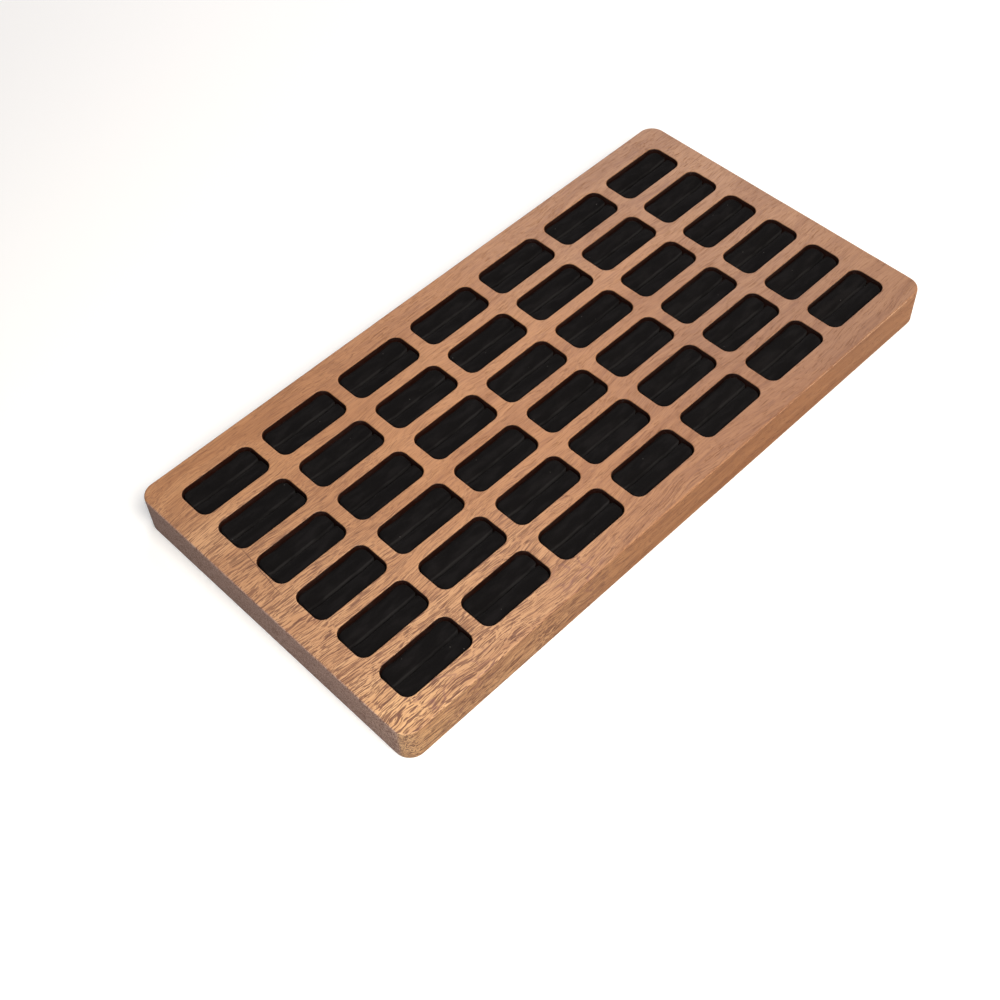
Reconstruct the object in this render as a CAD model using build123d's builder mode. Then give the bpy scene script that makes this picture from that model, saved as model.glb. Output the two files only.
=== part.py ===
from build123d import *
import os

# Ring display tray: a solid hardwood board with 42 milled pockets, each holding a pair of
# cloth-covered foam rolls on a base card. A ring is pushed into the slit between the two rolls.
# All sizes are in millimetres. X runs along the tray, Y from front to back and Z up.
# The origin is the centre of the underside.

os.makedirs("parts", exist_ok=True)

# Board
board_length = 300.0
board_width = 155.0
board_thickness = 18.0
board_corner_radius = 7.0
board_edge_chamfer = 0.6

# Pockets
columns = 7
rows = 6
pocket_length = 34.5
pocket_width = 17.0
pocket_depth = 14.0
pocket_corner_radius = 4.2
rib_between_columns = 6.0
rib_between_rows = 6.0

# Ring pads
pocket_clearance = 0.3
ring_slit = 0.8
pad_drop = 0.8
cloth_thickness = 0.8
cloth_at_foam_edge = 0.2
card_thickness = 1.2

# Places that follow from the sizes above
column_pitch = pocket_length + rib_between_columns
row_pitch = pocket_width + rib_between_rows
pocket_floor = board_thickness - pocket_depth
card_top = pocket_floor + card_thickness
pad_length = pocket_length - 2 * pocket_clearance
pad_width = pocket_width - 2 * pocket_clearance
pad_corner = pocket_corner_radius - pocket_clearance
roll_width = (pad_width - ring_slit) / 2
roll_height = board_thickness - pad_drop - card_top
roll_pitch = roll_width + ring_slit

# A foam strip is cut square and ends where the rounded corners of the pad start. The cloth is
# wrapped tight over its top edges and folded at its ends.
foam_length = pad_length - 2 * pad_corner
foam_width = roll_width - 2 * cloth_thickness
foam_height = roll_height - cloth_thickness
crown_bevel = 2 * cloth_thickness - 2**0.5 * cloth_at_foam_edge

# Centre lines of the pockets
column_places = [(column - (columns - 1) / 2) * column_pitch for column in range(columns)]
row_places = [(row - (rows - 1) / 2) * row_pitch for row in range(rows)]

# Tray board, milled from one plank
with BuildPart() as tray_board:
    with BuildSketch():
        RectangleRounded(board_length, board_width, board_corner_radius)
    extrude(amount=board_thickness)
    outline_edges = tray_board.edges().group_by(Axis.Z)
    chamfer(outline_edges[0] + outline_edges[-1], length=board_edge_chamfer)
    with BuildSketch(Plane.XY.offset(board_thickness)):
        with GridLocations(column_pitch, row_pitch, columns, rows):
            RectangleRounded(pocket_length, pocket_width, pocket_corner_radius)
    extrude(amount=-pocket_depth, mode=Mode.SUBTRACT)
tray_board.part.label = "tray_board"
export_step(tray_board.part, "parts/tray_board.step")

# Cloth covers, a front and a back one in each pocket
for column, column_x in enumerate(column_places, start=1):
    for row, row_y in enumerate(row_places, start=1):
        with BuildPart() as pad_covers:
            with BuildSketch(Plane.XY.offset(card_top)):
                with Locations((column_x, row_y)):
                    pad = Rectangle(pad_length, pad_width)
                    chamfer(pad.vertices(), length=pad_corner)
                    Rectangle(pad_length, ring_slit, mode=Mode.SUBTRACT)
            extrude(amount=roll_height)
            crown_edges = pad_covers.edges().group_by(Axis.Z)[-1]
            chamfer(crown_edges, length=crown_bevel)
            with BuildSketch(Plane.XY.offset(card_top)):
                with Locations((column_x, row_y)):
                    with GridLocations(pad_length, roll_pitch, 1, 2):
                        Rectangle(foam_length, foam_width)
            extrude(amount=foam_height, mode=Mode.SUBTRACT)
        pad_covers.part.label = f"pad_covers_column{column}_row{row}"
        export_step(pad_covers.part, f"parts/{pad_covers.part.label}.step")

# Foam strips inside the covers, one group for each column of pockets
for column, column_x in enumerate(column_places, start=1):
    with BuildPart() as foam_strips:
        with BuildSketch(Plane.XY.offset(card_top)):
            for row_y in row_places:
                with Locations((column_x, row_y)):
                    with GridLocations(pad_length, roll_pitch, 1, 2):
                        Rectangle(foam_length, foam_width)
        extrude(amount=foam_height)
    foam_strips.part.label = f"foam_strips_column{column}"
    export_step(foam_strips.part, f"parts/{foam_strips.part.label}.step")

# Base cards under the rolls, one group for each column of pockets
for column, column_x in enumerate(column_places, start=1):
    with BuildPart() as base_cards:
        with BuildSketch(Plane.XY.offset(pocket_floor)):
            for row_y in row_places:
                with Locations((column_x, row_y)):
                    card = Rectangle(pad_length, pad_width)
                chamfer(card.vertices(), length=pad_corner)
        extrude(amount=card_thickness)
    base_cards.part.label = f"base_cards_column{column}"
    export_step(base_cards.part, f"parts/{base_cards.part.label}.step")
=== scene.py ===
import math
import random

import bmesh
import bpy
from bpy.props import FloatProperty, FloatVectorProperty, IntProperty, PointerProperty
from bpy.types import Operator, Panel, PropertyGroup
from mathutils import Matrix, Vector, noise


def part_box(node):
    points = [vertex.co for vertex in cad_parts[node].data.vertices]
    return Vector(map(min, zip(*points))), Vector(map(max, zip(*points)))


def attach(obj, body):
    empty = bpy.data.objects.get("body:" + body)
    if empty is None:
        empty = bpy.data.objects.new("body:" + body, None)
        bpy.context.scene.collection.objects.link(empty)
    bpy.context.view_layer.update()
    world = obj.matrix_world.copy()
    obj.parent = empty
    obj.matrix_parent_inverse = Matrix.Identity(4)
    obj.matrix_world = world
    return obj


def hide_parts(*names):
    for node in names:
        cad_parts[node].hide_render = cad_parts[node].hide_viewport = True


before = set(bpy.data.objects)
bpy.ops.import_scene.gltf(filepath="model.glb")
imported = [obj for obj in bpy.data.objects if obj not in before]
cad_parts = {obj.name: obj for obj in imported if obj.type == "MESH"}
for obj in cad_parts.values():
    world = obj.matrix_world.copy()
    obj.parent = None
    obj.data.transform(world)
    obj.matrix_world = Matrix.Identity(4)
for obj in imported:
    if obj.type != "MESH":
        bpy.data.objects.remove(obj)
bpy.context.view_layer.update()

bl_info = {
    "name": "Ring Display Tray",
    "version": (1, 0, 0),
    "blender": (4, 5, 0),
    "location": "3D View > Sidebar > Ring Tray",
    "description": "Dresses a wooden ring display tray: grain, eased edges and padded velvet rolls",
    "category": "Object",
}

MM = 0.001
BODY = "root"

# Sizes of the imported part, in metres
COLUMNS = 7
ROWS = 6
BOARD_LOW, BOARD_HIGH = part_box("tray_board")
PAD_LOW, PAD_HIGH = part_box("pad_covers_column1_row1")
LAST_PAD_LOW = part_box(f"pad_covers_column{COLUMNS}_row{ROWS}")[0]
CARD_LOW, CARD_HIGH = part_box("base_cards_column1")
COLUMN_PITCH = (LAST_PAD_LOW[0] - PAD_LOW[0]) / (COLUMNS - 1)
ROW_PITCH = (LAST_PAD_LOW[1] - PAD_LOW[1]) / (ROWS - 1)
PAD_LENGTH = PAD_HIGH[0] - PAD_LOW[0]
PAD_WIDTH = PAD_HIGH[1] - PAD_LOW[1]
PAD_BASE = PAD_LOW[2]
PAD_TOP = PAD_HIGH[2]
POCKET_FLOOR = CARD_LOW[2]
BOARD_TOP = BOARD_HIGH[2]

# How finely the round stretches are cut, how far apart vertices may be to be welded, and how many
# digits the places on the border of the grid keep
CORNER_STEPS = 8
ROUND_STEPS = 4
DOME_STEPS = 6
SIDE_STEPS = 26
WELD = 0.01 * MM
ROLL_WELD = 0.02 * MM
BORDER_DIGITS = 7

# The corners of an outline, as sides of X and Y, with the direction in degrees where each arc starts
CORNERS = {(1, 1): 0, (-1, 1): 90, (-1, -1): 180, (1, -1): 270}

# How many radii from an eased edge the loop stands that holds its shape
SUPPORT = 1.5

# Sanding by hand reaches so far below the top, on faces that look up at least so much. Its dips lie
# so far apart, and the bias widens them.
SANDED_DEPTH = 1.2 * MM
SANDED_UPWARD = 0.1
SANDED_SPACING = 9.0 * MM
SANDED_BIAS = 0.3

# Edges that turn by more than this stay sharp
SHARP_ANGLE = math.radians(35)

# Patterns of the wood, as lumps to the millimetre along X, Y and Z. The grain runs along X.
DRIFT = (0.010, 0.018, 0.018)
WANDER = (0.012, 0.024, 0.024)
RIPPLE = (0.07, 0.13, 0.13)
STREAKS = (0.02, 0.75, 0.75)
FIBRES = (0.10, 3.4, 3.4)
PORES = (0.13, 2.7, 2.7)
PORE_PATCHES = (0.02, 0.10, 0.10)
FIGURE = (0.045, 0.11, 0.11)
CRACK_WAVES = (0.3, 0.3, 0.3)

# How far the grain wanders and ripples across the plank, in millimetres
WANDER_REACH = 16.0
RIPPLE_REACH = 2.4

# The growth rings: the heart of the log and the rings to the millimetre
HEART = (0.0, 35.0, -110.0)
RINGS = 0.33

# The tone of the wood: its shares, its contrast and where the dark and the light colour stand
RING_SHARE = 0.40
STREAK_SHARE = 0.30
FIBRE_SHARE = 0.30
CONTRAST = 0.58
COARSE_CONTRAST = 0.05
DARK_TONE = 0.39
LIGHT_TONE = 0.61

# Where the wood changes: each value grows by so much to the millimetre along X and Y, and the
# change takes place over its span. The shade is deepest at its middle along X; it is partly the
# wood's own tone and partly painted shade, where less light falls.
COARSE_SLOPE = (-0.008, -0.007)
COARSE_SPAN = (0.7, 1.9)
ROSY_SLOPE = 0.006
ROSY_SPAN = (0.6, 1.4)
SHADE_MIDDLE = 60.0
SHADE_PEAK = 0.45
SHADE_SLOPE = (-0.005, -0.006)
SHADE_SPAN = (0.0, 0.75)

# Veins: the pattern, the noise below which the wood is vein, and how much of its colour shows
VEINS = (((0.070, 1.50, 1.50), 0.43, 0.85), ((0.11, 2.4, 2.4), 0.42, 0.80))
VEIN_EDGE = 0.03
FINE_VEINS = 0.25

# Pores: the noise above which the wood is pore, where they are sparse and where they are dense
SPARSE_PORES = 0.63
DENSE_PORES = 0.59
COARSE_PORES = 0.03
PORE_EDGE = 0.05
PORE_COVER = 0.36
COARSE_PORE_COVER = 0.34

# Marks of the wood, as places in millimetres from the middle of the board, each with its reach.
# A mark is full within the first share of its reach.
# The golden corner is partly the wood's own tone and partly a painted highlight where the light falls
# brightest
GOLDEN_HIGHLIGHT_CORNER = ((-150.0, -78.0), 36.0)
FIGURE_PLACES = (((-124.0, -73.0), 26.0), ((-57.0, -71.0), 17.0))
CRACK_PLACE = ((-139.0, 16.0), 20.0)
FULL_SHARE = 0.3

# The figure lines are contours of a noise
CONTOURS = 6.0
CONTOUR_WIDTH = 0.12
FIGURE_COVER = 0.5

# The crack crosses the board at a distance from its middle and leans, in millimetres
CRACK_START = -141.4
CRACK_LEAN = 0.108
CRACK_WIDTH = (0.05, 0.35)
CRACK_COVER = 0.75

# The colour of the sawn ends grows from the first depth inside the ends to the second, in
# millimetres
END_DEPTH = (0.7, 0.1)
END_COVER = 0.72

# Painted shade darkens the walls of the pockets over this depth under the rim. The zone leaves out the
# board's own sides and fades between two distances from the middle. All in millimetres.
WALL_SHADE_DEPTH = 0.35
WALL_SHADE_ZONE = {"X": (139.0, 143.0), "Y": (66.5, 71.0)}

# How dull the wood is, and how high its fibres stand as a share of the depth of the pores
DULLNESS = 0.38
FIBRE_DULLNESS = 0.18
PORE_DULLNESS = 0.25
FIBRE_RELIEF = 0.3

# Patterns of the velvet, as lumps to the millimetre
BRUSHING = (0.09, 0.30, 0.30)
PILE = (5.0, 5.0, 5.0)
LINT_CELLS = 0.33

# A painted highlight, on the back roll's slope into the slit where the light falls, stands so many
# millimetres behind the middle of the slit, and fades on both sides
SLIT_HIGHLIGHT_PLACE = 0.55
SLIT_HIGHLIGHT_WIDTH = (0.1, 0.5)

# The specks of lint: the share of cells without one, their size in cells and their cover
NO_LINT = 0.8
LINT_SIZE = (0.03, 0.07)
LINT_COVER = 0.7

# The cloth simulation of a roll, enlarged so that the solver's tolerances stay small beside it
SWELL_SCALE = 10.0
SWELL_FRAMES = 20
HELD_HEIGHT = 2.0 * MM
CLOTH_TRAITS = {
    "quality": 5, "mass": 0.3, "tension_stiffness": 12, "compression_stiffness": 12,
    "shear_stiffness": 4, "bending_stiffness": 0.4, "use_pressure": True,
    "uniform_pressure_force": 4, "shrink_min": -0.01, "vertex_group_mass": "held"}

# The rolls: the levels of their walls, the lumps of their stuffing, how far they may bulge into the
# slit as a share of it, and how a placed roll may be lower and lean, in millimetres
WALL_LEVELS = (0, 0.25, 0.5, 0.75, 0.9)
LUMP_SIZE = 7.0 * MM
LUMP_PLACES = 50
VARIANT_SEEDS = 100
SLIT_BULGE = 0.3
LEAST_LIFT = 0.985
LEAN = 0.10

# The floor: half its size, and the distances in millimetres between which it grows to full white
FLOOR_REACH = 3.0
GLOW_SPAN = (350.0, 1300.0)

# The camera's sensor in millimetres and the nearest distance it sees
SENSOR_WIDTH = 36.0
NEAREST = 0.01

# The sockets of a Mix node that mixes colours
MIX_FACTOR, MIX_BELOW, MIX_ABOVE, MIX_RESULT = 0, 6, 7, 2


def length(name, description, default):
    """A length that a user may change, its default given in millimetres."""
    return FloatProperty(name=name, description=description, default=default * MM, unit="LENGTH")


def number(name, description, default):
    """A plain number that a user may change."""
    return FloatProperty(name=name, description=description, default=default)


def colour(name, description, default):
    """A colour that a user may change."""
    return FloatVectorProperty(name=name, description=description, default=default, subtype="COLOR")


class TrayBoardSettings(PropertyGroup):
    """Sizes and colours of the wooden board."""

    pocket_clearance: length("Pocket clearance", "Gap between a pad and the wall of its pocket", 0.3)
    pocket_corner: length("Pocket corners", "Radius of a pocket's corners from above", 4.2)
    board_corner: length("Board corners", "Radius of the board's corners from above", 7.0)
    rim_round: length("Rim rounding", "Radius of the eased rim of each pocket", 0.4)
    edge_round: length("Edge rounding", "Radius of the eased outer edges", 0.6)
    hand_wear: length("Hand wear", "How far sanding by hand has dipped the eased edges", 0.06)
    light_wood: colour("Light wood", "Colour of the pale grain", (0.63, 0.365, 0.195))
    mid_wood: colour("Middle wood", "Colour between the pale and the dark grain", (0.51, 0.275, 0.140))
    dark_wood: colour("Dark wood", "Colour of the dark grain", (0.34, 0.160, 0.080))
    brown_tint: colour(
        "Brown tint", "Tint of the fine grain, away from the front left", (0.80, 0.68, 0.58))
    rosy_tint: colour("Rosy tint", "Tint of the pinker right end", (0.90, 0.98, 1.15))
    # partly painted shade: the front right and the middle lie in less light, and are partly darker in
    # their own tone
    tone_and_painted_shade_tint: colour("Shade tint", "Tint of the darker wood at the front right", (0.78, 0.76, 0.79))
    # partly painted highlight: the front left corner is lit brighter, and partly golden in its own tone
    golden_and_highlight_tint: colour("Golden tint", "Tint of the front left corner", (1.20, 1.25, 1.20))
    end_grain: colour("End grain", "Colour of the sawn ends", (0.37, 0.25, 0.22))
    vein: colour("Veins", "Colour of the thin dark lines of the grain", (0.165, 0.070, 0.042))
    # painted shade on the walls of the pockets
    painted_wall_shade: colour("Wall tint", "Tint of the darkened walls of the pockets", (0.045, 0.018, 0.014))
    pore: colour("Pores", "Colour inside the open pores", (0.12, 0.050, 0.032))
    figure: colour("Figure lines", "Colour of the dark figure lines", (0.20, 0.085, 0.075))


class RingPadSettings(PropertyGroup):
    """Sizes and colours of the padded rolls."""

    slit: length("Ring slit", "Gap between the two rolls of a pad", 0.8)
    dome: length("Dome", "Height of a roll's domed top above its straight sides", 1.3)
    end_round: length("End rounding", "How far from a roll's end its crown starts to fall", 1.0)
    wall_corner: length("Wall corner", "Radius of a roll's corners beside the wall of the pocket", 3.6)
    slit_corner: length("Slit corner", "Radius of a roll's corners beside the slit", 0.8)
    room: length("Room to swell", "How much narrower and shorter than its place a roll starts", 0.25)
    swell_limit: length("Swell limit", "How far a point of the cloth may move when it swells", 0.4)
    unevenness: length("Unevenness", "How uneven the stuffing is", 0.07)
    variants: IntProperty(
        name="Variants", description="How many rolls are swelled, each with its own stuffing",
        default=8)
    seed: IntProperty(
        name="Seed", description="Picks the stuffing and places of the rolls", default=11)
    cloth: colour("Cloth", "Colour of the cloth", (0.0040, 0.0032, 0.0034))
    nap: colour(
        "Brushed nap", "Colour where the nap is brushed the other way", (0.0085, 0.0072, 0.0075))
    # painted highlight on the back roll's slope into the slit
    painted_slit_highlight: colour(
        "Raised nap", "Colour of the nap that stands up in the slit", (0.017, 0.0155, 0.0155))
    pile_shadow: colour("Pile shadow", "Tint of the gaps between the hairs", (0.2, 0.2, 0.2))
    sheen: colour("Sheen", "Colour of the pile seen along the surface", (0.6, 0.55, 0.56))
    lint: colour("Lint", "Colour of the specks of lint", (0.16, 0.15, 0.14))


class FoamSettings(PropertyGroup):
    """Sizes and colours of the foam strips inside the rolls."""

    gap: length("Cloth gap", "Room between the foam and the outside of its cover", 1.1)
    cell: colour("Cells", "Colour inside the cells of the foam", (0.05, 0.05, 0.052))
    web: colour("Webs", "Colour of the webs between the cells", (0.14, 0.14, 0.145))


class CardSettings(PropertyGroup):
    """Colours of the base cards under the rolls."""

    pulp: colour("Pulp", "Colour of the card", (0.22, 0.205, 0.185))
    fleck: colour("Flecks", "Colour of the paler fibres", (0.36, 0.345, 0.32))


class StageSettings(PropertyGroup):
    """Floor, camera and lamps."""

    floor: colour("Floor", "Colour of the floor", (0.80, 0.79, 0.78))
    floor_bounce: colour(
        "Floor bounce", "Colour of the light that the floor throws back", (0.16, 0.15, 0.15))
    floor_glow: number("Floor glow", "How much brighter the floor looks than it is lit", 0.27)
    camera_place: FloatVectorProperty(
        name="Camera place", description="Where the camera stands", subtype="TRANSLATION",
        default=(-0.28703, -0.28570, 0.48486))
    camera_turn: FloatVectorProperty(
        name="Camera turn", description="How the camera is turned", subtype="EULER",
        default=(math.radians(36.6365), math.radians(2.0770), math.radians(-44.8182)))
    lens: number("Lens", "Focal length in millimetres on a 36 mm sensor", 54.477)
    key_power: number("Key power", "Power of the main lamp", 6.2)
    sheen_power: number("Sheen power", "Power of the lamp behind the right end", 3.5)
    left_power: number("Left power", "Power of the lamp beside the left end", 0.75)
    front_power: number("Front power", "Power of the low lamp in front", 2.4)
    air: number("Air", "Strength of the light from all round", 0.07)
    air_colour: colour("Air colour", "Colour of the light from all round", (1.0, 0.99, 0.98))


class NodeTree:
    """Adds nodes to a tree, and links or sets their inputs."""

    def __init__(self, tree):
        self.tree = tree

    def add(self, kind, inputs=None, **traits):
        node = self.tree.nodes.new(kind)
        for trait, value in traits.items():
            setattr(node, trait, value)
        self.fill(node, inputs or {})
        return node

    def fill(self, node, inputs):
        for socket, value in inputs.items():
            self.feed(node.inputs[socket], value)

    def feed(self, socket, value):
        if isinstance(value, bpy.types.NodeSocket):
            self.tree.links.new(value, socket)
        else:
            socket.default_value = value

    def math(self, operation, *values):
        return self.add("ShaderNodeMath", dict(enumerate(values)), operation=operation).outputs[0]

    def vector(self, operation, *values):
        node = self.add("ShaderNodeVectorMath", dict(enumerate(values)), operation=operation)
        return node.outputs["Value" if operation == "LENGTH" else "Vector"]

    def shape(self, kind, geometry, **inputs):
        """The geometry that comes out of a geometry node."""
        node = self.add(f"GeometryNode{kind}", {"Geometry": geometry, **inputs})
        return node.outputs["Geometry"]

    def scaled(self, value, factor):
        return self.math("MULTIPLY", value, factor)

    def weighed(self, *parts):
        """The sum of some values, each times its weight."""
        total = 0.0
        for value, weight in parts:
            total = self.math("MULTIPLY_ADD", value, weight, total)
        return total

    def away(self, value, middle):
        """How far a value is from a middle value, on either side."""
        return self.math("ABSOLUTE", self.math("SUBTRACT", value, middle))

    def span(self, value, low, high, to_low=0.0, to_high=1.0):
        """value, taken from low..high to to_low..to_high with a soft start and end."""
        ends = {"Value": value, "From Min": low, "From Max": high}
        ends.update({"To Min": to_low, "To Max": to_high})
        node = self.add("ShaderNodeMapRange", ends, interpolation_type="SMOOTHSTEP")
        return node.outputs["Result"]

    def fade(self, value, low, high):
        """1 below low, falling to 0 at high."""
        return self.span(value, low, high, to_low=1.0, to_high=0.0)

    def noise(self, place, stretch=(1.0, 1.0, 1.0), detail=2.0, roughness=0.5, output="Fac"):
        """Noise with so many lumps to the millimetre along each axis."""
        inputs = {"Vector": self.vector("MULTIPLY", place, stretch), "Scale": 1.0}
        inputs.update({"Detail": detail, "Roughness": roughness})
        return self.add("ShaderNodeTexNoise", inputs).outputs[output]

    def blend(self, factor, below, above, mode="MIX"):
        inputs = {MIX_FACTOR: factor, MIX_BELOW: opaque(below), MIX_ABOVE: opaque(above)}
        node = self.add("ShaderNodeMix", inputs, data_type="RGBA", blend_type=mode)
        return node.outputs[MIX_RESULT]

    def tint(self, factor, below, by):
        """The colour below multiplied by another, as far as the factor says."""
        return self.blend(factor, below, by, mode="MULTIPLY")

    def axes(self, vector):
        """The outputs X, Y and Z of a vector."""
        return self.add("ShaderNodeSeparateXYZ", {"Vector": vector}).outputs

    def bump(self, height, distance):
        inputs = {"Height": height, "Distance": distance, "Strength": 1.0}
        return self.add("ShaderNodeBump", inputs).outputs["Normal"]


def opaque(value):
    """A colour of three numbers with its fourth; a socket passes through."""
    if isinstance(value, bpy.types.NodeSocket):
        return value
    return (*value[:3], 1.0)


def new_material(name):
    """A material, its tree, its shader and the object's coordinates in millimetres."""
    material = bpy.data.materials.new(name)
    material.use_nodes = True
    tree = NodeTree(material.node_tree)
    shader = material.node_tree.nodes["Principled BSDF"]
    coordinates = tree.add("ShaderNodeTexCoord").outputs["Object"]
    return material, tree, shader, tree.vector("MULTIPLY", coordinates, (1 / MM, 1 / MM, 1 / MM))


def grain_place(tree, place):
    """Coordinates that follow the grain, which wanders along the plank and ripples."""
    grain = place
    for pattern, reach in ((WANDER, WANDER_REACH), (RIPPLE, RIPPLE_REACH)):
        push = tree.vector("SUBTRACT", tree.noise(place, pattern, output="Color"), (0.5, 0.5, 0.5))
        grain = tree.vector("ADD", grain, tree.vector("MULTIPLY", push, (0.0, reach, reach)))
    return grain


def spot(tree, place, centre, reach):
    """1 at a place on the top of the board, falling to 0 at its reach."""
    beside = tree.vector("SUBTRACT", place, (*centre, 0.0))
    beside = tree.vector("MULTIPLY", beside, (1.0, 1.0, 0.0))
    return tree.fade(tree.vector("LENGTH", beside), FULL_SHARE * reach, reach)


def grain_colour(tree, grain, fibre, coarse, look):
    """The colours of the growth rings, streaks and fibres."""
    across = tree.vector("MULTIPLY", tree.vector("SUBTRACT", grain, HEART), (0.0, 1.0, 1.0))
    rings = {"W": tree.vector("LENGTH", across), "Scale": RINGS, "Detail": 3.0, "Roughness": 0.6}
    ring = tree.add("ShaderNodeTexNoise", rings, noise_dimensions="1D").outputs[0]
    streak = tree.noise(grain, STREAKS, detail=3.0, roughness=0.65)
    tone = tree.weighed((ring, RING_SHARE), (streak, STREAK_SHARE), (fibre, FIBRE_SHARE))
    contrast = tree.math("MULTIPLY_ADD", coarse, COARSE_CONTRAST, CONTRAST)
    tone = tree.math("MULTIPLY_ADD", tree.math("SUBTRACT", tone, 0.5), contrast, 0.5)
    ramp = tree.add("ShaderNodeValToRGB", {"Fac": tone})
    dark, light = ramp.color_ramp.elements
    dark.position = DARK_TONE
    dark.color = opaque(look.dark_wood)
    light.position = LIGHT_TONE
    light.color = opaque(look.light_wood)
    ramp.color_ramp.elements.new(0.5).color = opaque(look.mid_wood)
    return ramp.outputs["Color"]


def tint_regions(tree, wood, place, drift, coarse, look):
    """The wood tinted by where it is: brown, rosy, darker in partly painted shade, golden with a partly
    painted highlight, or sawn across.
    """
    axes = tree.axes(place)
    wood = tree.tint(tree.math("SUBTRACT", 1.0, coarse), wood, look.brown_tint)

    rosy = tree.weighed((axes["X"], ROSY_SLOPE), (drift, 1.0))
    wood = tree.tint(tree.span(rosy, *ROSY_SPAN), wood, look.rosy_tint)

    # partly painted shade, deepest at the middle front, partly the wood's own darker tone
    along, across = SHADE_SLOPE
    beside = tree.away(axes["X"], SHADE_MIDDLE)
    shade = tree.weighed((beside, along), (axes["Y"], across), (SHADE_PEAK, 1.0))
    wood = tree.tint(tree.span(shade, *SHADE_SPAN), wood, look.tone_and_painted_shade_tint)

    # partly painted highlight at the front left corner, partly the wood's own golden tone
    wood = tree.tint(spot(tree, place, *GOLDEN_HIGHLIGHT_CORNER), wood, look.golden_and_highlight_tint)

    start, full = (BOARD_HIGH[0] / MM - depth for depth in END_DEPTH)
    sawn = tree.span(tree.away(axes["X"], 0.0), start, full, to_high=END_COVER)
    return tree.blend(sawn, wood, look.end_grain)


def draw_veins(tree, wood, grain, coarse, look):
    """The wood with thin dark lines that run with the grain and break up."""
    amount = tree.math("MULTIPLY_ADD", coarse, 1.0 - FINE_VEINS, FINE_VEINS)
    for pattern, limit, cover in VEINS:
        lines = tree.noise(grain, pattern, detail=1.0)
        vein = tree.scaled(tree.fade(lines, limit - VEIN_EDGE, limit), cover)
        wood = tree.blend(tree.scaled(vein, amount), wood, look.vein)
    return wood


def open_pores(tree, grain, coarse):
    """1 in an open pore, a short dash along the grain."""
    patches = tree.noise(grain, PORE_PATCHES)
    limit = tree.span(patches, low=0.3, high=0.7, to_low=SPARSE_PORES, to_high=DENSE_PORES)
    limit = tree.math("MULTIPLY_ADD", coarse, -COARSE_PORES, limit)
    dashes = tree.noise(grain, PORES, detail=1.0)
    return tree.span(tree.math("SUBTRACT", dashes, limit), 0.0, PORE_EDGE)


def draw_figure(tree, wood, place, look):
    """The wood with dark lines like a map's contours in two places."""
    height = tree.scaled(tree.noise(place, FIGURE, detail=1.5), CONTOURS)
    line = tree.fade(tree.math("PINGPONG", height, 0.5), 0.0, CONTOUR_WIDTH)
    first, second = (spot(tree, place, *figure_place) for figure_place in FIGURE_PLACES)
    line = tree.scaled(line, tree.math("MAXIMUM", first, second))
    return tree.blend(tree.scaled(line, FIGURE_COVER), wood, look.figure)


def draw_crack(tree, wood, place, look):
    """The wood with a hair crack across the grain beside the left end."""
    axes = tree.axes(place)
    waves = tree.noise(place, CRACK_WAVES)
    course = tree.weighed((axes["Y"], CRACK_LEAN), (waves, 1.0), (CRACK_START, 1.0))
    crack = tree.fade(tree.away(axes["X"], course), *CRACK_WIDTH)
    crack = tree.scaled(crack, spot(tree, place, *CRACK_PLACE))
    return tree.blend(tree.scaled(crack, CRACK_COVER), wood, look.pore)


def paint_wall_shade(tree, wood, place, look):
    """The wood with painted shade on the walls of the pockets, under the rim."""
    axes = tree.axes(place)
    top = BOARD_TOP / MM
    # painted shade: the walls below the rim are darkened
    wall = tree.fade(axes["Z"], top - WALL_SHADE_DEPTH, top)
    for axis, ends in WALL_SHADE_ZONE.items():
        wall = tree.scaled(wall, tree.fade(tree.away(axes[axis], 0.0), *ends))
    return tree.tint(wall, wood, look.painted_wall_shade)


def wood_material(look):
    """Open-pored brown hardwood, coarse, golden and wavy at the front left with a painted highlight
    there, rosy to the right.
    """
    material, tree, shader, place = new_material("oiled_hardwood")
    axes = tree.axes(place)
    grain = grain_place(tree, place)
    drift = tree.noise(place, DRIFT, detail=1.0)
    along, across = COARSE_SLOPE
    near = tree.weighed((axes["X"], along), (axes["Y"], across), (drift, 1.0))
    coarse = tree.span(near, *COARSE_SPAN)
    fibre = tree.noise(grain, FIBRES, roughness=0.7)
    pore = open_pores(tree, grain, coarse)

    wood = grain_colour(tree, grain, fibre, coarse, look)
    wood = tint_regions(tree, wood, place, drift, coarse, look)
    wood = draw_veins(tree, wood, grain, coarse, look)
    cover = tree.math("MULTIPLY_ADD", coarse, COARSE_PORE_COVER, PORE_COVER)
    wood = tree.blend(tree.scaled(pore, cover), wood, look.pore)
    wood = draw_figure(tree, wood, place, look)
    wood = draw_crack(tree, wood, place, look)
    wood = paint_wall_shade(tree, wood, place, look)

    dull = tree.weighed((fibre, FIBRE_DULLNESS), (pore, PORE_DULLNESS), (DULLNESS, 1.0))
    relief = tree.weighed((fibre, FIBRE_RELIEF), (pore, -1.0))
    tree.fill(shader, {
        "Base Color": wood, "Roughness": dull, "Specular IOR Level": 0.4,
        "Normal": tree.bump(relief, distance=0.05 * MM)})
    return material


def painted_slit_highlight(tree, place, brushed):
    """1 on the painted highlight, on the back roll's side of the slit."""
    pitch = ROW_PITCH / MM
    first = pitch / 2 if ROWS % 2 == 0 else 0.0
    across = tree.math("SUBTRACT", tree.axes(place)["Y"], first)
    across = tree.math("WRAP", across, pitch / 2, -pitch / 2)
    line = tree.fade(tree.away(across, SLIT_HIGHLIGHT_PLACE), *SLIT_HIGHLIGHT_WIDTH)
    return tree.scaled(line, tree.span(brushed, low=0.35, high=0.6, to_low=0.3))


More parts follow.
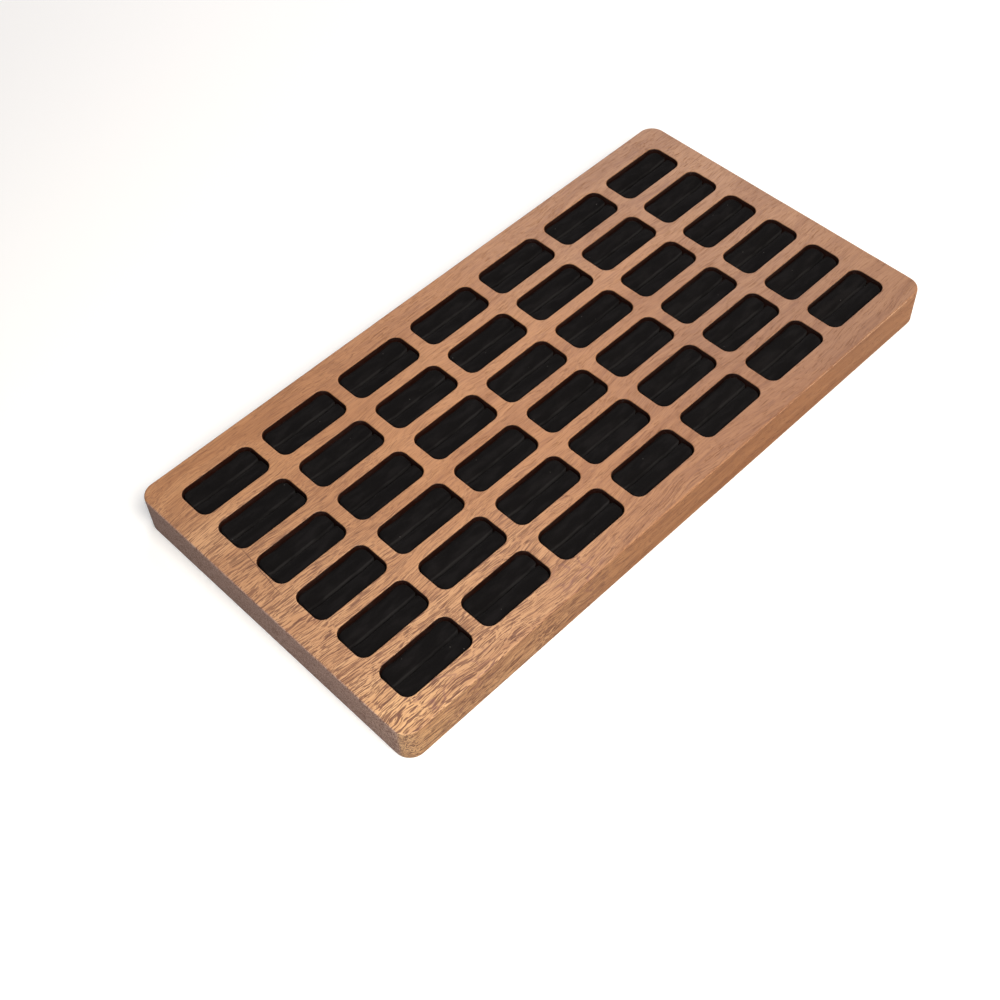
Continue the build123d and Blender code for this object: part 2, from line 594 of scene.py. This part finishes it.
def lint_specks(tree, place):
    """1 in a speck of lint, one in some of the cells of a pattern."""
    cells = tree.add("ShaderNodeTexVoronoi", {"Vector": place, "Scale": LINT_CELLS}).outputs
    chosen = tree.math("GREATER_THAN", tree.axes(cells["Color"])["X"], NO_LINT)
    return tree.scaled(tree.fade(cells["Distance"], *LINT_SIZE), chosen)


def velvet_material(look):
    """Black short-pile cloth with brushed patches, a painted highlight in the slit and a little lint.
    """
    material, tree, shader, place = new_material("black_velvet")
    brushed = tree.noise(place, BRUSHING, detail=3.0)
    pile = tree.noise(place, PILE, roughness=0.7)
    cloth = tree.blend(tree.span(brushed, low=0.42, high=0.68), look.cloth, look.nap)
    cloth = tree.tint(tree.span(pile, low=0.3, high=0.7, to_high=0.5), cloth, look.pile_shadow)
    # painted highlight along the slit, brightest where the nap is brushed
    cloth = tree.blend(painted_slit_highlight(tree, place, brushed), cloth, look.painted_slit_highlight)
    cloth = tree.blend(tree.scaled(lint_specks(tree, place), LINT_COVER), cloth, look.lint)
    tree.fill(shader, {
        "Base Color": cloth, "Roughness": 0.95, "Specular IOR Level": 0.12,
        "Sheen Weight": 0.03, "Sheen Roughness": 0.45, "Sheen Tint": opaque(look.sheen),
        "Normal": tree.bump(pile, distance=0.12 * MM)})
    return material


def foam_material(look):
    """Dark grey open-cell foam."""
    material, tree, shader, place = new_material("dark_foam")
    cells = tree.add("ShaderNodeTexVoronoi", {"Vector": place, "Scale": 2.2}).outputs["Distance"]
    shade = tree.blend(tree.span(cells, low=0.1, high=0.6), look.cell, look.web)
    relief = tree.bump(cells, distance=0.2 * MM)
    tree.fill(shader, {"Base Color": shade, "Roughness": 0.9, "Normal": relief})
    return material


def card_material(look):
    """Grey pulp board with flecks of fibre."""
    material, tree, shader, place = new_material("grey_card")
    flecks = tree.noise(place, (1.4, 1.4, 1.4), detail=4.0, roughness=0.8)
    shade = tree.blend(tree.span(flecks, low=0.35, high=0.65), look.pulp, look.fleck)
    relief = tree.bump(flecks, distance=0.03 * MM)
    tree.fill(shader, {"Base Color": shade, "Roughness": 0.85, "Normal": relief})
    return material


def add_object(name, mesh):
    """A new object at the origin."""
    piece = bpy.data.objects.new(name, mesh)
    bpy.context.collection.objects.link(piece)
    return piece


def finished_mesh(piece, name):
    """What a piece looks like with its modifiers, as a mesh of its own."""
    depsgraph = bpy.context.evaluated_depsgraph_get()
    mesh = bpy.data.meshes.new_from_object(piece.evaluated_get(depsgraph), depsgraph=depsgraph)
    mesh.name = name
    return mesh


def mesh_from(make, name):
    """A mesh filled by a function that draws on a bmesh."""
    draft = bmesh.new()
    make(draft)
    mesh = bpy.data.meshes.new(name)
    draft.to_mesh(mesh)
    draft.free()
    return mesh


def grid_tree():
    """Geometry nodes that repeat a cell on a grid, add it to the object's own mesh and weld them."""
    tree = bpy.data.node_groups.new("repeat_on_a_grid", "GeometryNodeTree")
    sockets = {
        "Own Mesh": "Geometry", "Cell": "Object", "Columns": "Int", "Rows": "Int",
        "Column Pitch": "Float", "Row Pitch": "Float", "Centre": "Vector", "Weld": "Float",
        "Material": "Material"}
    for name, kind in sockets.items():
        tree.interface.new_socket(name, in_out="INPUT", socket_type=f"NodeSocket{kind}")
    tree.interface.new_socket("Geometry", in_out="OUTPUT", socket_type="NodeSocketGeometry")
    nodes = NodeTree(tree)
    given = nodes.add("NodeGroupInput").outputs
    size_x, size_y = (
        nodes.scaled(nodes.math("SUBTRACT", given[count], 1.0), given[pitch])
        for count, pitch in (("Columns", "Column Pitch"), ("Rows", "Row Pitch")))
    counts = {"Vertices X": given["Columns"], "Vertices Y": given["Rows"]}
    points = nodes.add("GeometryNodeMeshGrid", {"Size X": size_x, "Size Y": size_y, **counts})
    moved = nodes.shape("SetPosition", points.outputs["Mesh"], Offset=given["Centre"])
    cell = nodes.add("GeometryNodeObjectInfo", {"Object": given["Cell"]}).outputs["Geometry"]
    placed = nodes.add("GeometryNodeInstanceOnPoints", {"Points": moved, "Instance": cell})
    joined = nodes.shape("JoinGeometry", placed.outputs["Instances"])
    nodes.feed(joined.node.inputs["Geometry"], given["Own Mesh"])
    real = nodes.shape("RealizeInstances", joined)
    welded = nodes.shape("MergeByDistance", real, Distance=given["Weld"])
    dressed = nodes.shape("SetMaterial", welded, Material=given["Material"])
    nodes.add("NodeGroupOutput", {"Geometry": dressed})
    return tree


def repeat(name, own_mesh, cell_mesh, material, columns=1, centre=(0.0, 0.0, 0.0)):
    """An object whose mesh is own_mesh with cell_mesh repeated on the grid of the pockets."""
    tree = bpy.data.node_groups.get("repeat_on_a_grid") or grid_tree()
    cell = add_object(f"{name}_cell", cell_mesh)
    piece = add_object(name, own_mesh)
    modifier = piece.modifiers.new("Repeat", "NODES")
    modifier.node_group = tree
    values = {
        "Cell": cell, "Columns": columns, "Rows": ROWS, "Column Pitch": COLUMN_PITCH,
        "Row Pitch": ROW_PITCH, "Centre": centre, "Weld": WELD, "Material": material}
    for socket in tree.interface.items_tree:
        if socket.name in values:
            modifier[socket.identifier] = values[socket.name]
    bpy.context.view_layer.update()
    mesh = finished_mesh(piece, name)
    piece.modifiers.clear()
    piece.data = mesh
    bpy.data.objects.remove(cell)
    return piece


def grid_place(index, count, pitch):
    """Where the middle of a pocket stands along one axis of the grid."""
    return (index - (count - 1) / 2) * pitch


def corner_arc(half_x, half_y, radius, corner, steps):
    """Points of one rounded corner of a rectangle, with their outward directions."""
    side_x, side_y = corner
    centre = Vector((side_x * (half_x - radius), side_y * (half_y - radius)))
    points = []
    for step in range(steps + 1):
        angle = math.radians(CORNERS[corner] + 90 * step / steps)
        outward = Vector((math.cos(angle), math.sin(angle)))
        points.append((centre + outward * radius, outward))
    return points


def rounded_outline(half_x, half_y, radius):
    """Points of a rounded rectangle with their outward directions, counter-clockwise."""
    points = []
    for corner in CORNERS:
        points += corner_arc(half_x, half_y, radius, corner, CORNER_STEPS)
    return points


def level(outline, out, z):
    """An outline moved outwards and lifted to a height."""
    return [(point.x + away.x * out, point.y + away.y * out, z) for point, away in outline]


def eased(outline, radius, top, outer):
    """Levels round an edge whose sharp corner would stand at height top."""
    rows = []
    for step in range(ROUND_STEPS + 1):
        angle = math.pi / 2 * step / ROUND_STEPS
        out = radius * (1 - math.sin(angle))
        rows.append(level(outline, -out if outer else out, top - radius * (1 - math.cos(angle))))
    return rows


def join_levels(draft, levels):
    """Bands of faces between levels with as many points; returns the vertices of the levels."""
    loops = [[draft.verts.new(place) for place in row] for row in levels]
    for upper, lower in zip(loops, loops[1:]):
        for index, vertex in enumerate(upper):
            after = (index + 1) % len(upper)
            draft.faces.new((vertex, upper[after], lower[after], lower[index]))
    return loops


def pocket_sizes(look):
    """Half the length and half the width of a pocket."""
    return PAD_LENGTH / 2 + look.pocket_clearance, PAD_WIDTH / 2 + look.pocket_clearance


def border_steps(straight, half_pitch):
    """How far along one side of a cell its border has vertices, from the middle outwards."""
    quarter = CORNER_STEPS // 2
    return [straight + (half_pitch - straight) * step / quarter for step in range(quarter + 1)]


def cell_border(look):
    """The border of a pocket's cell, with a point for each point of the pocket's outline."""
    half_x, half_y = pocket_sizes(look)
    along_x = border_steps(half_x - look.pocket_corner, COLUMN_PITCH / 2)
    along_y = border_steps(half_y - look.pocket_corner, ROW_PITCH / 2)
    border = []
    for side_x, side_y in CORNERS:
        end = [(side_x * COLUMN_PITCH / 2, side_y * reach) for reach in along_y]
        side = [(side_x * reach, side_y * ROW_PITCH / 2) for reach in along_x]
        border += end + side[-2::-1] if side_x == side_y else side + end[-2::-1]
    return [(x, y, BOARD_TOP) for x, y in border]


def draw_cell(draft, look):
    """One pocket with the wood round it, as far as the middle of each rib."""
    half_x, half_y = pocket_sizes(look)
    wall = rounded_outline(half_x, half_y, look.pocket_corner)
    support = SUPPORT * look.rim_round
    levels = [cell_border(look), level(wall, support, BOARD_TOP)]
    levels += eased(wall, look.rim_round, BOARD_TOP, outer=False)
    levels += [level(wall, 0, BOARD_TOP - support), level(wall, 0, POCKET_FLOOR)]
    loops = join_levels(draft, levels)
    draft.faces.new(loops[-1])


def grid_border(look):
    """Points round the whole grid of cells, one side after the other, counter-clockwise."""
    half_x, half_y = pocket_sizes(look)

    def places(count, pitch, straight):
        reach = border_steps(straight, pitch / 2)
        cell = [-step for step in reversed(reach)] + reach
        centres = [grid_place(index, count, pitch) for index in range(count)]
        return sorted({round(centre + step, BORDER_DIGITS) for centre in centres for step in cell})

    xs = places(COLUMNS, COLUMN_PITCH, half_x - look.pocket_corner)
    ys = places(ROWS, ROW_PITCH, half_y - look.pocket_corner)
    right = [(xs[-1], y) for y in ys]
    back = [(x, ys[-1]) for x in reversed(xs)]
    left = [(xs[0], y) for y in reversed(ys)]
    front = [(x, ys[0]) for x in xs]
    return right, back, left, front


def draw_surround(draft, look):
    """The wood outside the grid of pockets, with the board's sides and underside."""
    half_x, half_y = BOARD_HIGH[0], BOARD_HIGH[1]
    outline = []
    owners = []
    border = []
    for side, corner in zip(grid_border(look), CORNERS):
        facing = math.radians(CORNERS[corner])
        outward = Vector((round(math.cos(facing)), round(math.sin(facing))))
        for x, y in side[1:]:
            border.append((x, y, BOARD_TOP))
            edge = Vector((half_x * outward.x or x, half_y * outward.y or y))
            if (x, y) != side[-1]:
                outline.append((edge, outward))
                owners.append(len(border) - 1)
        for point in corner_arc(half_x, half_y, look.board_corner, corner, CORNER_STEPS):
            outline.append(point)
            owners.append(len(border) - 1)

    support = SUPPORT * look.edge_round
    upper = [level(outline, -support, BOARD_TOP)]
    upper += eased(outline, look.edge_round, BOARD_TOP, outer=True)
    upper.append(level(outline, 0, BOARD_TOP - support))
    lower = [[(x, y, BOARD_TOP - z) for x, y, z in row] for row in reversed(upper)]
    loops = join_levels(draft, upper + lower)
    draft.faces.new(loops[-1])
    inner = [draft.verts.new(place) for place in border]
    for index, vertex in enumerate(loops[0]):
        after = (index + 1) % len(loops[0])
        ends = dict.fromkeys((inner[owners[index]], inner[owners[after]]))
        draft.faces.new([*reversed(ends), vertex, loops[0][after]])


def soften_edges(mesh, depth):
    """Dips the eased edges a little, as sanding by hand leaves them."""
    for vertex in mesh.vertices:
        below = BOARD_TOP - vertex.co.z
        if 0 < below < SANDED_DEPTH and vertex.normal.z > SANDED_UPWARD:
            dip = depth * max(noise.noise(vertex.co / SANDED_SPACING) + SANDED_BIAS, 0)
            vertex.co -= vertex.normal * dip


def orient(mesh):
    """Turns every face outwards and smooths all but the sharp edges."""
    draft = bmesh.new()
    draft.from_mesh(mesh)
    bmesh.ops.recalc_face_normals(draft, faces=draft.faces)
    draft.to_mesh(mesh)
    draft.free()
    mesh.shade_smooth()
    mesh.set_sharp_from_angle(angle=SHARP_ANGLE)


def make_board(look):
    """The milled board, its pockets repeated by geometry nodes."""
    surround = mesh_from(lambda draft: draw_surround(draft, look), "surround")
    cell = mesh_from(lambda draft: draw_cell(draft, look), "pocket")
    board = repeat("board", surround, cell, wood_material(look), columns=COLUMNS)
    orient(board.data)
    soften_edges(board.data, look.hand_wear)
    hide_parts("tray_board")
    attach(board, BODY)


def draw_roll(draft, look, variant):
    """One roll before it swells. Its middle stands at the origin and its slit side faces -Y."""
    chance = random.Random(look.seed * VARIANT_SEEDS + variant)
    half_x = PAD_LENGTH / 2 - look.room
    half_y = (PAD_WIDTH - look.slit) / 4 - look.room / 2
    spine = half_x - look.end_round
    outline = []
    roots = []
    for corner in CORNERS:
        side_x, side_y = corner
        radius = look.wall_corner if side_y > 0 else look.slit_corner
        outline += [point for point, _ in corner_arc(half_x, half_y, radius, corner, DOME_STEPS)]
        roots += [side_x * spine] * (DOME_STEPS + 1)
        if side_x == side_y:
            for step in range(1, SIDE_STEPS):
                share = side_x * (1 - 2 * step / SIDE_STEPS)
                outline.append(Vector((share * (half_x - radius), side_y * half_y)))
                roots.append(share * spine)
    shoulder = PAD_TOP - look.dome - look.swell_limit
    levels = []
    for share in WALL_LEVELS:
        z = PAD_BASE + (shoulder - PAD_BASE) * share
        levels.append([(point.x, point.y, z) for point in outline])
    for step in range(DOME_STEPS + 1):
        angle = math.pi / 2 * step / DOME_STEPS
        z = shoulder + look.dome * math.sin(angle)
        pull = math.cos(angle)
        levels.append([
            (root + (point.x - root) * pull, point.y * pull, z) for point, root in zip(outline, roots)])
    loops = join_levels(draft, levels[::-1])
    draft.faces.new(loops[-1])
    bmesh.ops.remove_doubles(draft, verts=draft.verts, dist=ROLL_WELD)
    bmesh.ops.recalc_face_normals(draft, faces=draft.faces)
    drift = Vector([chance.uniform(-LUMP_PLACES, LUMP_PLACES) for _ in range(3)])
    for vertex in draft.verts:
        rise = (vertex.co.z - PAD_BASE) / (PAD_TOP - PAD_BASE)
        lump = noise.noise_vector(vertex.co / LUMP_SIZE + drift)
        vertex.co += lump * look.unevenness * rise


def swell(forms, look):
    """Blows the cloth of the forms up with a cloth simulation, and returns their new meshes."""
    held_below = (PAD_BASE + HELD_HEIGHT) * SWELL_SCALE
    rolls = []
    for form in forms:
        mesh = form.copy()
        mesh.transform(Matrix.Scale(SWELL_SCALE, 4))
        roll = add_object("swelling_roll", mesh)
        foot = [vertex.index for vertex in mesh.vertices if vertex.co.z < held_below]
        roll.vertex_groups.new(name="held").add(foot, 1.0, "REPLACE")
        cloth = roll.modifiers.new("Swell", "CLOTH")
        for trait, value in CLOTH_TRAITS.items():
            setattr(cloth.settings, trait, value)
        cloth.settings.effector_weights.gravity = 0
        cloth.point_cache.frame_start = 1
        cloth.point_cache.frame_end = SWELL_FRAMES
        rolls.append(roll)
    for step in range(1, SWELL_FRAMES + 1):
        bpy.context.scene.frame_set(step)
    swelled = []
    for form, roll in zip(forms, rolls):
        mesh = finished_mesh(roll, "roll")
        mesh.transform(Matrix.Scale(1 / SWELL_SCALE, 4))
        bpy.data.objects.remove(roll)
        cap(mesh, form, look)
        swelled.append(mesh)
    bpy.context.scene.frame_set(1)
    return swelled


def cap(mesh, form, look):
    """Keeps every point near where it started and inside its place in the pocket."""
    half_x = PAD_LENGTH / 2
    wall_y = (PAD_WIDTH - look.slit) / 4
    slit_y = wall_y + SLIT_BULGE * look.slit
    for vertex, start in zip(mesh.vertices, form.vertices):
        move = vertex.co - start.co
        if move.length > look.swell_limit:
            move.length = look.swell_limit
        place = start.co + move
        place.x = min(max(place.x, -half_x), half_x)
        place.y = min(max(place.y, -slit_y), wall_y)
        place.z = min(max(place.z, PAD_BASE), PAD_TOP)
        vertex.co = place


def subdivided(mesh):
    """The mesh with one smooth subdivision."""
    holder = add_object("subdividing_roll", mesh)
    modifier = holder.modifiers.new("Subdivision", "SUBSURF")
    modifier.levels = 1
    modifier.render_levels = 1
    smooth = finished_mesh(holder, "smooth_roll")
    bpy.data.objects.remove(holder)
    return smooth


def draw_pad(draft, rolls, look, chance):
    """A pad about the origin, its two rolls picked from the swelled ones."""
    offset = (PAD_WIDTH + look.slit) / 4
    for side in (1, -1):
        roll = chance.choice(rolls)
        turn = chance.choice((1, -1))
        lift = chance.uniform(LEAST_LIFT, 1.0)
        lean = chance.uniform(-LEAN, LEAN) * MM
        first_vertex = len(draft.verts)
        first_face = len(draft.faces)
        draft.from_mesh(roll)
        draft.verts.ensure_lookup_table()
        draft.faces.ensure_lookup_table()
        for vertex in draft.verts[first_vertex:]:
            rise = vertex.co.z - PAD_BASE
            vertex.co = (
                vertex.co.x * turn,
                (vertex.co.y + offset) * side + lean * rise / (PAD_TOP - PAD_BASE),
                PAD_BASE + rise * lift)
        if turn * side < 0:
            bmesh.ops.reverse_faces(draft, faces=draft.faces[first_face:])


def make_pads(look):
    """Two swelled rolls in each pocket."""
    forms = [
        mesh_from(lambda draft, variant=variant: draw_roll(draft, look, variant), "roll_form")
        for variant in range(look.variants)]
    swelled = swell(forms, look)
    rolls = [subdivided(roll) for roll in swelled]
    velvet = velvet_material(look)
    chance = random.Random(look.seed)
    for column in range(COLUMNS):
        for row in range(ROWS):
            place = f"column{column + 1}_row{row + 1}"
            mesh = mesh_from(lambda draft: draw_pad(draft, rolls, look, chance), f"pad_{place}")
            x = grid_place(column, COLUMNS, COLUMN_PITCH)
            y = grid_place(row, ROWS, ROW_PITCH)
            mesh.transform(Matrix.Translation((x, y, 0)))
            mesh.shade_smooth()
            mesh.materials.append(velvet)
            pad = add_object(f"pad_{place}", mesh)
            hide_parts(f"pad_covers_{place}")
            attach(pad, BODY)


def draw_strips(draft, look, foam):
    """The two foam strips of a pocket, their tops pressed round by the cloth."""
    half_x = PAD_LENGTH / 2 - look.wall_corner
    roll_width = (PAD_WIDTH - look.slit) / 2
    half_y = roll_width / 2 - foam.gap
    shoulder = PAD_TOP - look.dome - foam.gap
    dome = look.dome - foam.gap / 2
    profile = [(-half_y, CARD_HIGH[2])]
    for step in range(DOME_STEPS + 1):
        angle = math.pi * step / DOME_STEPS
        profile.append((-half_y * math.cos(angle), shoulder + dome * math.sin(angle)))
    profile.append((half_y, CARD_HIGH[2]))
    for side in (-1, 1):
        middle = side * (roll_width + look.slit) / 2
        ends = [[(x, middle + y, z) for y, z in profile] for x in (-half_x, half_x)]
        for loop in join_levels(draft, ends):
            draft.faces.new(loop)


def make_foam(look, foam):
    """Foam strips, one piece for each column of pockets."""
    material = foam_material(foam)
    for column in range(COLUMNS):
        cell = mesh_from(lambda draft: draw_strips(draft, look, foam), "strips")
        nothing = bpy.data.meshes.new("nothing")
        centre = (grid_place(column, COLUMNS, COLUMN_PITCH), 0.0, 0.0)
        piece = repeat(f"foam_column{column + 1}", nothing, cell, material, centre=centre)
        orient(piece.data)
        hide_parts(f"foam_strips_column{column + 1}")
        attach(piece, BODY)


def make_cards(look):
    """The base cards keep their CAD shape and get their paper."""
    material = card_material(look)
    for column in range(COLUMNS):
        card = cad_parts[f"base_cards_column{column + 1}"]
        card.data.materials.clear()
        card.data.materials.append(material)


def add_lamp(name, place, target, size, power, tint):
    """A round soft lamp that looks at a point."""
    lamp = bpy.data.lights.new(name, "AREA")
    lamp.shape = "DISK"
    lamp.size = size
    lamp.energy = power
    lamp.color = tint
    holder = add_object(name, lamp)
    holder.location = place
    holder.rotation_euler = (Vector(target) - Vector(place)).to_track_quat("-Z", "Y").to_euler()


def make_floor(look):
    """A pale floor that looks brighter than it is lit, and throws back less light than it shows."""
    def draw_floor(draft):
        bmesh.ops.create_grid(draft, x_segments=1, y_segments=1, size=FLOOR_REACH)

    floor = add_object("floor", mesh_from(draw_floor, "floor"))
    paper, tree, shader, place = new_material("pale_floor")
    seen = tree.add("ShaderNodeLightPath").outputs["Is Camera Ray"]
    glow = tree.span(tree.vector("LENGTH", place), *GLOW_SPAN, to_low=look.floor_glow)
    tree.fill(shader, {
        "Base Color": tree.blend(seen, look.floor_bounce, look.floor), "Roughness": 0.9,
        "Emission Color": opaque((1.0, 1.0, 1.0)), "Emission Strength": tree.scaled(seen, glow)})
    floor.data.materials.append(paper)


def make_air(look):
    """Faint light from all round, which the camera sees as white."""
    world = bpy.data.worlds.new("air")
    world.use_nodes = True
    background = world.node_tree.nodes["Background"]
    tree = NodeTree(world.node_tree)
    seen = tree.add("ShaderNodeLightPath").outputs["Is Camera Ray"]
    strength = tree.math("MULTIPLY_ADD", seen, 1.0 - look.air, look.air)
    tree.fill(background, {"Color": opaque(look.air_colour), "Strength": strength})
    bpy.context.scene.world = world


def make_lamps(look):
    """A warm main lamp, a cool one behind the right end and two low ones at the sides."""
    centre = (0.0, 0.0, BOARD_TOP)
    left_end = (BOARD_LOW[0], 0.0, BOARD_TOP / 2)
    right_front = (BOARD_HIGH[0] / 2, BOARD_LOW[1], BOARD_TOP / 2)
    lamps = (
        ("key_lamp", (-0.14, -0.38, 0.60), centre, 0.42, look.key_power, (1.0, 0.96, 0.89)),
        ("sheen_lamp", (0.52, 0.42, 0.62), centre, 0.6, look.sheen_power, (0.98, 0.96, 1.0)),
        ("left_lamp", (-0.45, -0.16, 0.07), left_end, 0.2, look.left_power, (0.85, 0.93, 1.0)),
        ("front_lamp", (0.40, -0.42, 0.05), right_front, 0.2, look.front_power, (1.0, 0.86, 0.66)))
    for lamp in lamps:
        add_lamp(*lamp)


def make_camera(look):
    """The camera that took the photo, as far as it could be worked out."""
    camera = bpy.data.cameras.new("camera")
    camera.lens = look.lens
    camera.sensor_width = SENSOR_WIDTH
    camera.clip_start = NEAREST
    holder = add_object("camera", camera)
    holder.location = look.camera_place
    holder.rotation_euler = look.camera_turn
    bpy.context.scene.camera = holder


def make_stage(look):
    """Floor, air, lamps and camera."""
    make_floor(look)
    make_air(look)
    make_lamps(look)
    make_camera(look)
    bpy.context.scene.view_settings.view_transform = "Standard"


class RINGTRAY_OT_board(Operator):
    """Builds the milled wooden board"""
    bl_idname = "ringtray.board"
    bl_label = "Build board"

    def execute(self, context):
        make_board(context.scene.ring_tray_board)
        return {"FINISHED"}


class RINGTRAY_OT_pads(Operator):
    """Builds the padded rolls in their pockets"""
    bl_idname = "ringtray.pads"
    bl_label = "Build pads"

    def execute(self, context):
        make_pads(context.scene.ring_tray_pads)
        return {"FINISHED"}


class RINGTRAY_OT_foam(Operator):
    """Builds the foam strips inside the rolls"""
    bl_idname = "ringtray.foam"
    bl_label = "Build foam"

    def execute(self, context):
        make_foam(context.scene.ring_tray_pads, context.scene.ring_tray_foam)
        return {"FINISHED"}


class RINGTRAY_OT_cards(Operator):
    """Gives the base cards their paper"""
    bl_idname = "ringtray.cards"
    bl_label = "Dress cards"

    def execute(self, context):
        make_cards(context.scene.ring_tray_cards)
        return {"FINISHED"}


class RINGTRAY_OT_stage(Operator):
    """Builds the floor, the lamps and the camera"""
    bl_idname = "ringtray.stage"
    bl_label = "Build stage"

    def execute(self, context):
        make_stage(context.scene.ring_tray_stage)
        return {"FINISHED"}


class RINGTRAY_PT_build(Panel):
    """Settings and buttons of the ring tray"""
    bl_idname = "RINGTRAY_PT_build"
    bl_label = "Ring Tray"
    bl_space_type = "VIEW_3D"
    bl_region_type = "UI"
    bl_category = "Ring Tray"

    def draw(self, context):
        for name in SETTINGS:
            group = getattr(context.scene, name)
            box = self.layout.box()
            for trait in group.bl_rna.properties:
                if not trait.is_readonly and trait.identifier != "name":
                    box.prop(group, trait.identifier)
        for operator in OPERATORS:
            self.layout.operator(operator.bl_idname)


SETTINGS = {
    "ring_tray_board": TrayBoardSettings,
    "ring_tray_pads": RingPadSettings,
    "ring_tray_foam": FoamSettings,
    "ring_tray_cards": CardSettings,
    "ring_tray_stage": StageSettings,
}
OPERATORS = (
    RINGTRAY_OT_board, RINGTRAY_OT_pads, RINGTRAY_OT_foam, RINGTRAY_OT_cards, RINGTRAY_OT_stage)


def register():
    for name, group in SETTINGS.items():
        bpy.utils.register_class(group)
        setattr(bpy.types.Scene, name, PointerProperty(type=group))
    for operator in OPERATORS:
        bpy.utils.register_class(operator)
    bpy.utils.register_class(RINGTRAY_PT_build)


def unregister():
    bpy.utils.unregister_class(RINGTRAY_PT_build)
    for operator in reversed(OPERATORS):
        bpy.utils.unregister_class(operator)
    for name, group in SETTINGS.items():
        delattr(bpy.types.Scene, name)
        bpy.utils.unregister_class(group)


def main():
    register()
    bpy.ops.ringtray.board()
    bpy.ops.ringtray.pads()
    bpy.ops.ringtray.foam()
    bpy.ops.ringtray.cards()
    bpy.ops.ringtray.stage()


if __name__ == "__main__":
    main()
